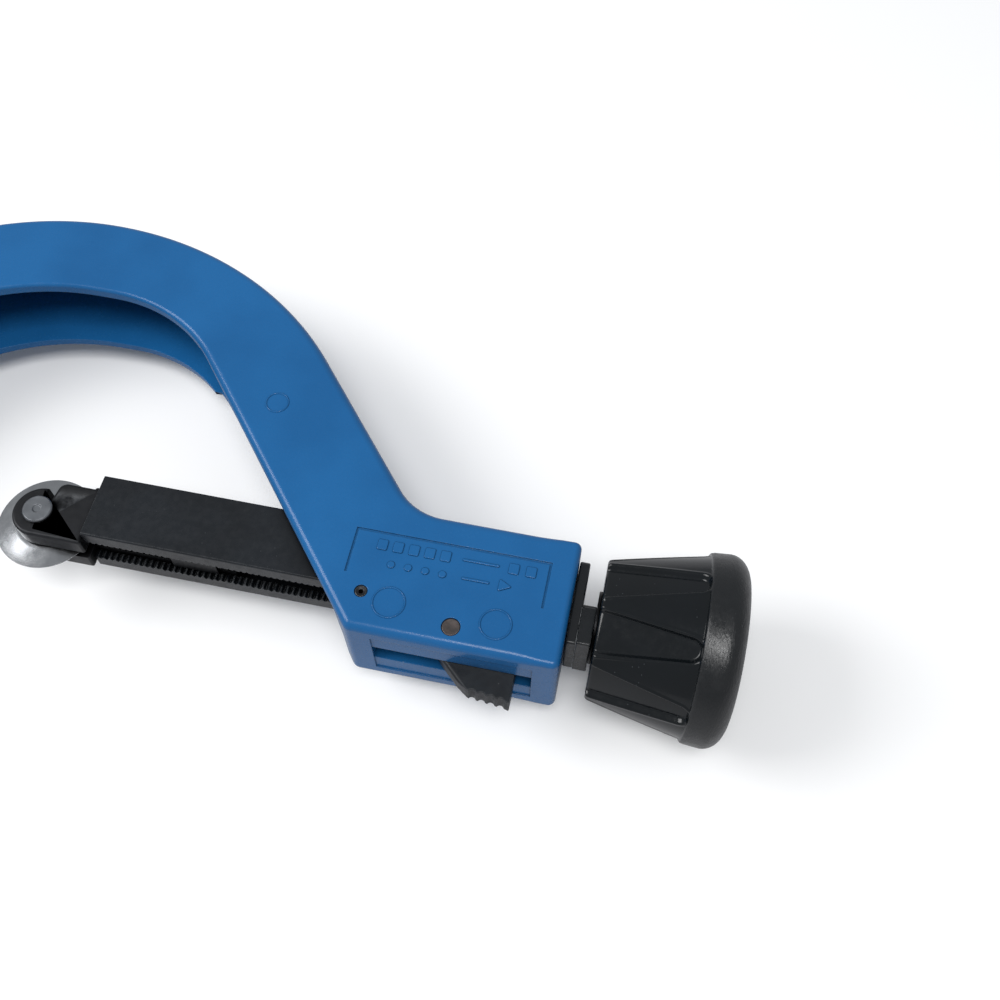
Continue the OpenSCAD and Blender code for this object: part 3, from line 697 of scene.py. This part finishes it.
def build_end_block():
    """Cast block that closes the rail: flange, shelf, neck, and a plug with a tongue inside the rail."""
    lo, hi = span("rail_end_block")
    x0 = END + 0.2
    # outlines lie across X, as (Y, Z)
    corners = [(lo.y, -10.5, 0.8), (18.5, -10.5, 2.5), (18.5, 10.5, 2.5), (lo.y, 10.5, 0.8)]
    flange = slab("flange", rounded(corners), x0, x0 + 3.4, 0.55, 3, "x")
    corners = [(lo.y, lo.z, 0.6), (1.9, lo.z, 0.9), (1.9, hi.z, 0.9), (lo.y, hi.z, 0.6)]
    shelf = slab("shelf", rounded(corners), x0 + 3.3, hi.x, 0.4, 3, "x")
    corners = [(-4.5, -6.8, 1.5), (5.0, -6.8, 2), (5.0, 6.8, 2), (-4.5, 6.8, 1.5)]
    neck = slab("neck", rounded(corners), x0 + 3.2, hi.x, 0.4, 3, "x")
    plug = slab("plug", plate((-3.4, -8.25), (13.1, 8.25), 0.4), lo.x, x0 + 0.2, 0.3, 2, "x")
    tongue = slab("tongue", plate((-6.3, -5), (-1.5, 5), 0.3), lo.x, x0 + 0.2, 0.3, 2, "x")
    body = boolean(flange, [shelf, neck, plug, tongue], "UNION")
    body.name = "rail_end_block_casting"
    boolean(body, [rod("bore", (0, 0, 0), SCREW_R + RUN, lo.x - 5, hi.x + 5, "x")])
    return finish_piece(body, BLACK_CAST, "rail", ["rail_end_block"], 30)


# ---------------------------------------------------------------- knob and screw
# radii of the cone's two ends and of the rim
SMALL_R, CONE_R, RIM_R = 23.8, 29.8, 31.6
# distances from the rail end to the rim and to the centre of a pocket's round end
RIM_START, POCKET_END = 32.0, 28.4
POCKETS = 8


def knob_radius(s, turn):
    """Outer radius at s millimetres from the rail end, turn degrees from a pocket's centre."""
    start_w, end_w = 7.5, 4.0
    r = SMALL_R + (s - 1) * (CONE_R - SMALL_R) / (RIM_START - 1)
    half = start_w - (start_w - end_w) * min(s, POCKET_END) / POCKET_END
    across = math.radians(turn) * r
    if s <= POCKET_END:
        inside = half - abs(across)
    else:
        inside = half - math.hypot(across, s - POCKET_END)
    # an almost flat floor that gets shallower towards the rim, and a low raised lip round the pocket
    floor = (r - 2.5 + 0.7 * s / RIM_START) / math.cos(math.radians(turn)) ** 0.7
    lip = 0.22 * math.exp(-((inside + 0.55) / 0.45) ** 2)
    return r + lip + (min(floor, r) - r) * smooth((inside + 0.1) / 0.95)


def knob_rows():
    """Rows along the knob as (kind, s, r). In a pocket row, r is added to the cone's own radius."""
    length = KNOB_HIGH.x - KNOB_LOW.x
    recess, round_start, fillet = length - 2.4, 38.5, 7.8
    rows = [("plain", 0.0, r) for r in (4.2, 12.0, 19.5)]
    rows += [("pocket", 0.0, -0.85), ("pocket", 0.12, -0.45), ("pocket", 0.4, -0.12)]
    rows += [("pocket", 1.0 + 0.31 * i, 0.0) for i in range(100)]
    rim = [(RIM_START, 30.55), (32.25, 30.85), (33.2, 31.15), (35.5, 31.35), (round_start, RIM_R)]
    for k in range(1, 10):
        a = math.pi / 2 * k / 9
        rim.append((round_start + (length - 0.1 - round_start) * math.sin(a),
                    RIM_R - fillet + fillet * math.cos(a)))
    rim += [(length, 22.0), (length, 17.2), (length - 0.3, 16.5), (length - 0.9, 16.3), (recess, 16.3),
            (recess, 8.0), (recess, 4.2)]
    return rows + [("plain", s, r) for s, r in rim]


def build_knob():
    """Moulded knob with tapered finger pockets and a satin rim."""
    rows = knob_rows()
    columns = 576
    pocket_step = 360 / POCKETS
    first = 25.8  # degrees from +Z towards -Y to the first pocket's centre
    verts, faces = [], []
    for kind, s, r in rows:
        for k in range(columns):
            a = 360 * k / columns
            turn = (a + pocket_step / 2) % pocket_step - pocket_step / 2
            radius = knob_radius(max(s, 0.4), turn) + r if kind == "pocket" else r
            b = math.radians(a + first)
            verts.append((KNOB_LOW.x + s, -radius * math.sin(b), radius * math.cos(b)))
    # the last row joins the first, which closes the bore
    for k in range(len(rows)):
        m = (k + 1) % len(rows)
        for i in range(columns):
            j = (i + 1) % columns
            faces.append((k * columns + i, k * columns + j, m * columns + j, m * columns + i))
    knob = mesh("knob_moulding", verts, faces)
    finish_piece(knob, KNOB_PLASTIC, "screw", ["knob"], 50)
    knob.data.materials.append(KNOB_RIM)
    for p in knob.data.polygons:
        if p.center.x / MM > KNOB_LOW.x + RIM_START + 0.1:
            p.material_index = 1
    return knob


def build_screw():
    """Left-hand feed screw, threaded in front of the end block, with a groove for its ring."""
    pitch, core = 1.5, 3.15
    columns = 28
    start, thread_end, tip = RAIL_LOW.x + 2, END - 22, KNOB_LOW.x + 38.5
    rows = []
    x = start
    while x < thread_end:
        rows.append((x, None))
        x += pitch / 6
    ring_low, ring_high, edge = END - 19.1, END - 17.9, 0.02
    rows += [(ring_low - edge, SCREW_R), (ring_low, SCREW_R - 0.7), (ring_high, SCREW_R - 0.7),
             (ring_high + edge, SCREW_R), (tip - 0.4, SCREW_R), (tip, SCREW_R - 0.4)]
    verts, faces = [], []
    for x, plain in rows:
        for k in range(columns):
            a = TAU * k / columns
            r = plain
            if r is None:
                phase = (x / pitch - k / columns) % 1.0
                r = core + (SCREW_R - core) * smooth(abs(phase - 0.5) * 2.6 - 0.15)
                r = min(r, 2.9 + (x - start) * 1.1, 3.4 + (thread_end - x) * 0.8)
            verts.append((x, r * math.cos(a), r * math.sin(a)))
    for k in range(len(rows) - 1):
        for i in range(columns):
            j = (i + 1) % columns
            faces.append((k * columns + i, k * columns + j, (k + 1) * columns + j, (k + 1) * columns + i))
    faces.append(tuple(range(columns)))
    faces.append(tuple(range(len(verts) - columns, len(verts))))
    screw = mesh("feed_screw_thread", verts, faces)
    return finish_piece(screw, SCREW_STEEL, "screw", ["feed_screw"], 45)


def build_cap():
    """Pressed cap in the knob's end: a dished disc with a raised ring and a skirt."""
    lo, hi = span("knob_cap")
    profile = [(0.0, hi.x - 0.5), (8.0, hi.x - 0.45), (12.5, hi.x - 0.2), (13.2, hi.x), (15.4, hi.x),
               (15.85, hi.x - 0.4), (15.9, hi.x - 1.5), (14, hi.x - 1.6), (14, lo.x), (12.5, lo.x),
               (12.5, hi.x - 1.7), (0.0, hi.x - 1.7)]
    cap = revolve("knob_end_cap", profile, (0, 0, 0), "x", 96)
    return finish_piece(cap, KNOB_RIM, "screw", ["knob_cap"], 35)


def build_washer():
    """Thin washer between the end block and the knob."""
    lo, hi = span("thrust_washer")
    bore, r = SCREW_R + RUN, 12.0
    profile = [(bore, lo.x), (r - 0.2, lo.x), (r, lo.x + 0.2), (r, hi.x - 0.2), (r - 0.2, hi.x), (bore, hi.x)]
    washer = revolve("thrust_washer_disc", profile, (0, 0, 0), "x", 96)
    return finish_piece(washer, OXIDE, "screw", ["thrust_washer"], 35)


# ---------------------------------------------------------------- latch
def build_lever():
    """Thumb lever with a scalloped edge. Its outline's X is measured from the lever pin."""
    nose = arc(-8.05, -10.45, 1.6, 90, 270, 0.5)
    boss = arc(0, LEVER_Y, 5.5, 143, 212, 0.8)
    edge = [(-2.7, -21.9), (4.3, -28.4), (7.4, -30.3)]
    scallops = []
    for i in range(4):
        scallops += arc(9.4 + 3.1 * i, -31.4 - 0.32 * i, 1.35, 150, 24, 0.45)
    rest = [(19.9, -31.9), (21.3, -32.25), (21.6, -32.0), (21.6, -17.9), (21.2, -17.3), (11.8, -13.5),
            (3, -11), (0.5, -8.95)]
    outline = nose + [(-5.0, -12.05), (-4.5, -12.4)] + boss + edge + scallops + rest
    # the slanted front edge has the broad chamfer
    widths = [1.25 if -30.5 < y < -19 and x < 5 else 0.3 for x, y in outline]
    outline, widths = clean([(LEVER_X + x, y) for x, y in outline], widths, 0.15)
    lever = slab("thumb_lever", outline, -3.9, 3.9, widths, 3)
    boolean(lever, [rod("bore", (LEVER_X, LEVER_Y, 0), LEVER_PIN_R + 0.07, -10, 10)])
    return finish_piece(lever, LEVER_STEEL, "lever", ["release_lever"], 34)


def build_pin(name, x, y, r, node, material, bore=0.0):
    """Peened pin through the housing: chamfered rims and slightly dished ends."""
    end, dish = HALF_W - 0.15, 0.25
    top = [(r, end - 0.35), (r - 0.3, end), (r * 0.55, end - dish * 0.4), (bore, end - dish)]
    profile = [(radius, -z) for radius, z in reversed(top)] + top
    pin = revolve(name, profile, (x, y, 0), "z", 48)
    return finish_piece(pin, material, "frame", [node], 40)


def tube(name, path, r):
    """Round wire swept along a path of millimetre points."""
    curve = bpy.data.curves.new(name, "CURVE")
    curve.dimensions = "3D"
    curve.bevel_depth = r * MM
    curve.bevel_resolution = 5
    curve.use_fill_caps = True
    spline = curve.splines.new("POLY")
    spline.points.add(len(path) - 1)
    for p, q in zip(spline.points, path):
        p.co = (*(c * MM for c in q), 1)
    obj = bpy.data.objects.new(name, curve)
    bpy.context.scene.collection.objects.link(obj)
    bpy.context.view_layer.update()
    data = bpy.data.meshes.new_from_object(obj.evaluated_get(bpy.context.evaluated_depsgraph_get()))
    bpy.data.objects.remove(obj)
    out = bpy.data.objects.new(name, data)
    bpy.context.scene.collection.objects.link(out)
    return out


def build_spring():
    """Torsion spring: a leg under the pawl, 2.75 turns round its pin and a short end leg."""
    coil, low, pitch, turns, leg_y = 2.85, 4.6, 0.85, 2.75, -16.1
    path = [(PAWL_X + 11.4, leg_y, low - 4.6), (PAWL_X + 11.4, leg_y, low - 0.4), (PAWL_X + 11.1, leg_y, low),
            (PAWL_X + 1.5, leg_y, low), (PAWL_X - 0.8, -15.4, low)]
    steps = 90
    for i in range(steps + 1):
        a = math.radians(-110) - TAU * turns * i / steps
        rise = pitch * turns * i / steps
        path.append((PAWL_X + coil * math.cos(a), PAWL_Y + coil * math.sin(a), low + rise))
    x, y, z = path[-1]
    path.append((x - 1.0, y + 0.1, z))
    wire = tube("latch_torsion_spring", path, 0.42)
    spring = finish_piece(wire, SPRING_STEEL, None, ["latch_spring"], 60)
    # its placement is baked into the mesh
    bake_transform(spring)
    return spring


# ---------------------------------------------------------------- carriage, wheel and rollers
def build_carriage():
    """Fork that holds the wheel, with a hollow square tail that runs in the rail."""
    shoulder, head_r, slot_w = 29.9, 9, 4
    head = arc(WHEEL_X, 0, head_r, 90, 270, 1.0)
    head += rounded([(WHEEL_X, -head_r, 0), (shoulder, -head_r, 0.8), (shoulder, 12, 0.8),
                     (WHEEL_X + 3, 12, 3.0), (WHEEL_X + 3, head_r, 0)], 5)[1:]
    head, widths = clean(head, [1.1] * len(head))
    body = slab("wheel_carriage_casting", head, -9, 9, widths, 3)
    boolean(body, [slab("tail", plate((-3.3, -8.15), (13, 8.15), 0.8), 27, 80, 0.7, 3, "x")], "UNION")
    boolean(body, [
        block("fork", (WHEEL_X - 20, -30, -slot_w / 2), (shoulder + RUN, 60, slot_w / 2)),
        rod("axle", (WHEEL_X, 0, 0), AXLE_R + RUN, -20, 20),
        rod("screw", (0, 0, 0), SCREW_R + 0.6, 31, 91, "x"),
        block("nut", (58, -10, -7), (74, 7, 7)),
    ])
    return finish_piece(body, OXIDE, "carriage", ["wheel_carriage"], 30)


def build_wheel():
    """Cutting wheel: turned hub, hollow-ground flanks and a keen edge."""
    hub, r, flank_r, flank_z, edge_z = 1.9, 17.0, 9.5, 0.9, 0.06
    upper = [(AXLE_R + RUN, hub), (6.1, hub), (6.5, hub - 0.3), (6.5, 0.95)]
    for k in range(9):
        part = k / 8
        hollow = 1 - (1 - part) ** 1.25
        upper.append((flank_r + (r - flank_r) * part, flank_z - (flank_z - edge_z) * hollow))
    profile = upper + [(x, -y) for x, y in reversed(upper)]
    wheel = revolve("cutter_wheel_disc", profile, (WHEEL_X, 0, 0), "z", 144)
    return finish_piece(wheel, WHEEL_STEEL, "wheel", ["cutter_wheel"], 25)


def build_wheel_axle():
    """Headed axle with a clip groove at its far end."""
    r, groove_r, head_r = AXLE_R, 2.3, 5
    profile = [(0.0, -11), (2.6, -11), (r, -10.6), (r, -10.5), (groove_r, -10.5), (groove_r, -9.6), (r, -9.6),
               (r, 9.1), (head_r - 0.4, 9.1), (head_r, 9.4), (head_r, 10.3), (head_r - 0.4, 10.7),
               (1.6, 10.7), (1.2, 10.2), (0.0, 10.2)]
    axle = revolve("wheel_axle_pin", profile, (WHEEL_X, 0, 0))
    return finish_piece(axle, SCREW_STEEL, "carriage", ["wheel_axle"], 30)


def build_roller(name, node, body, x, y):
    """Turned roller with a groove in each face."""
    lo, hi = span(node)
    bore, r = AXLE_R + RUN, 11
    face = [(bore, 0), (6, 0), (6.3, 0.6), (8.7, 0.6), (9, 0), (r - 0.8, 0), (r, 0.8)]
    profile = [(radius, lo.z + z) for radius, z in face]
    profile += [(radius, hi.z - z) for radius, z in reversed(face)]
    roller = revolve(name, profile, (x, y, 0), "z", 96)
    return finish_piece(roller, ROLLER_METAL, body, [node], 30)


def build_roller_axle(name, node, x, y):
    """Axle with a low domed head on the near face."""
    lo, hi = span(node)
    profile = [(0.0, lo.z + 0.2), (2.6, lo.z), (AXLE_R, lo.z + 0.4), (AXLE_R, HALF_W), (4.4, HALF_W),
               (4.6, HALF_W + 0.3), (4.2, HALF_W + 0.8), (2.8, hi.z), (0.0, hi.z)]
    axle = revolve(name, profile, (x, y, 0))
    return finish_piece(axle, RIVET, "frame", [node], 30)


build_frame()
build_relief()
build_rail()
build_end_block()
build_knob()
build_screw()
build_cap()
build_washer()
build_lever()
build_pin("lever_pivot_pin", LEVER_X, LEVER_Y, LEVER_PIN_R, "lever_pin", RIVET)
build_pin("pawl_pivot_pin", PAWL_X, PAWL_Y, PAWL_PIN_R, "pawl_pin", DARK_RIVET, 0.8)
build_spring()
build_carriage()
build_wheel()
build_wheel_axle()
for level, (x, y) in zip(("upper", "lower"), ROLLERS):
    for side in ("near", "far"):
        build_roller(f"{level}_{side}_guide_roller", f"{level}_roller_{side}", f"{level}_{side}", x, y)
    build_roller_axle(f"{level}_roller_rivet", f"{level}_roller_axle", x, y)

# CAD nodes that stay get their finish
KEPT = {"rail_stop_screw": OXIDE, "end_block_screws": SCREW_STEEL, "screw_retaining_ring": SPRING_STEEL,
        "knob_nut": SCREW_STEEL, "latch_pawl": LEVER_STEEL, "feed_nut": OXIDE, "wheel_axle_clip": OXIDE}
for node, material in KEPT.items():
    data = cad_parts[node].data
    data.materials.clear()
    data.materials.append(material)


# ---------------------------------------------------------------- floor, light and camera
def build_floor():
    """Pale floor just under the knob, clear from below, and darker in reflections than to the camera."""
    size, z = 3.0, -31.75 * MM
    corners = [(-size, -size, z), (size, -size, z), (size, size, z), (-size, size, z)]
    data = bpy.data.meshes.new("floor")
    data.from_pydata(corners, [], [(0, 1, 2, 3)])
    floor = bpy.data.objects.new("floor", data)
    bpy.context.scene.collection.objects.link(floor)
    g = Graph("pale_floor")
    coords = g.add("ShaderNodeTexCoord").outputs["Object"]
    shade = g.mix(g.noise(coords, 3.0), (0.93, 0.93, 0.93, 1), (0.95, 0.95, 0.95, 1))
    seen = g.add("ShaderNodeLightPath").outputs["Is Camera Ray"]
    shade = g.mix(seen, (0.5, 0.5, 0.51, 1), shade)
    paper = g.add("ShaderNodeBsdfPrincipled", {
        "Base Color": shade, "Roughness": 0.9, "Specular IOR Level": 0.1})
    clear = g.add("ShaderNodeBsdfTransparent")
    behind = g.add("ShaderNodeNewGeometry").outputs["Backfacing"]
    both = g.add("ShaderNodeMixShader", {0: behind, 1: paper.outputs[0], 2: clear.outputs[0]})
    g.feed(g.out.inputs[0], both.outputs[0])
    data.materials.append(g.material)


def lamp(name, spot, target, size, power):
    """Rectangular soft light at spot that faces target, in metres."""
    light = bpy.data.lights.new(name, "AREA")
    light.shape = "RECTANGLE"
    light.size, light.size_y = size
    light.energy = power
    obj = bpy.data.objects.new(name, light)
    obj.location = spot
    obj.rotation_euler = (Vector(target) - Vector(spot)).to_track_quat("-Z", "Y").to_euler()
    bpy.context.scene.collection.objects.link(obj)


build_floor()
world = bpy.data.worlds.new("studio")
world.use_nodes = True
sky = world.node_tree.nodes["Background"]
sky.inputs["Color"].default_value = (0.93, 0.96, 1.0, 1)
sky.inputs["Strength"].default_value = 0.44
bpy.context.scene.world = world
middle = (0.12, 0.02, 0.0)
lamp("window", (-1.30, -0.20, 1.30), middle, (0.95, 0.95), 20.0)
lamp("overhead", (0.30, -0.62, 1.88), middle, (0.85, 0.70), 21.0)

# the camera is above the near face, at the knob end and on the lever's side
camera = bpy.data.cameras.new("camera")
camera.sensor_width = 36
camera.lens = 40.73
camera.clip_start = 0.01
view = bpy.data.objects.new("camera", camera)
view.location = (0.1998, -0.1477, 0.3428)
view.rotation_euler = Euler([math.radians(a) for a in (29.248, -0.175, 11.669)])
bpy.context.scene.collection.objects.link(view)
bpy.context.scene.camera = view
bpy.context.scene.view_settings.view_transform = "Standard"
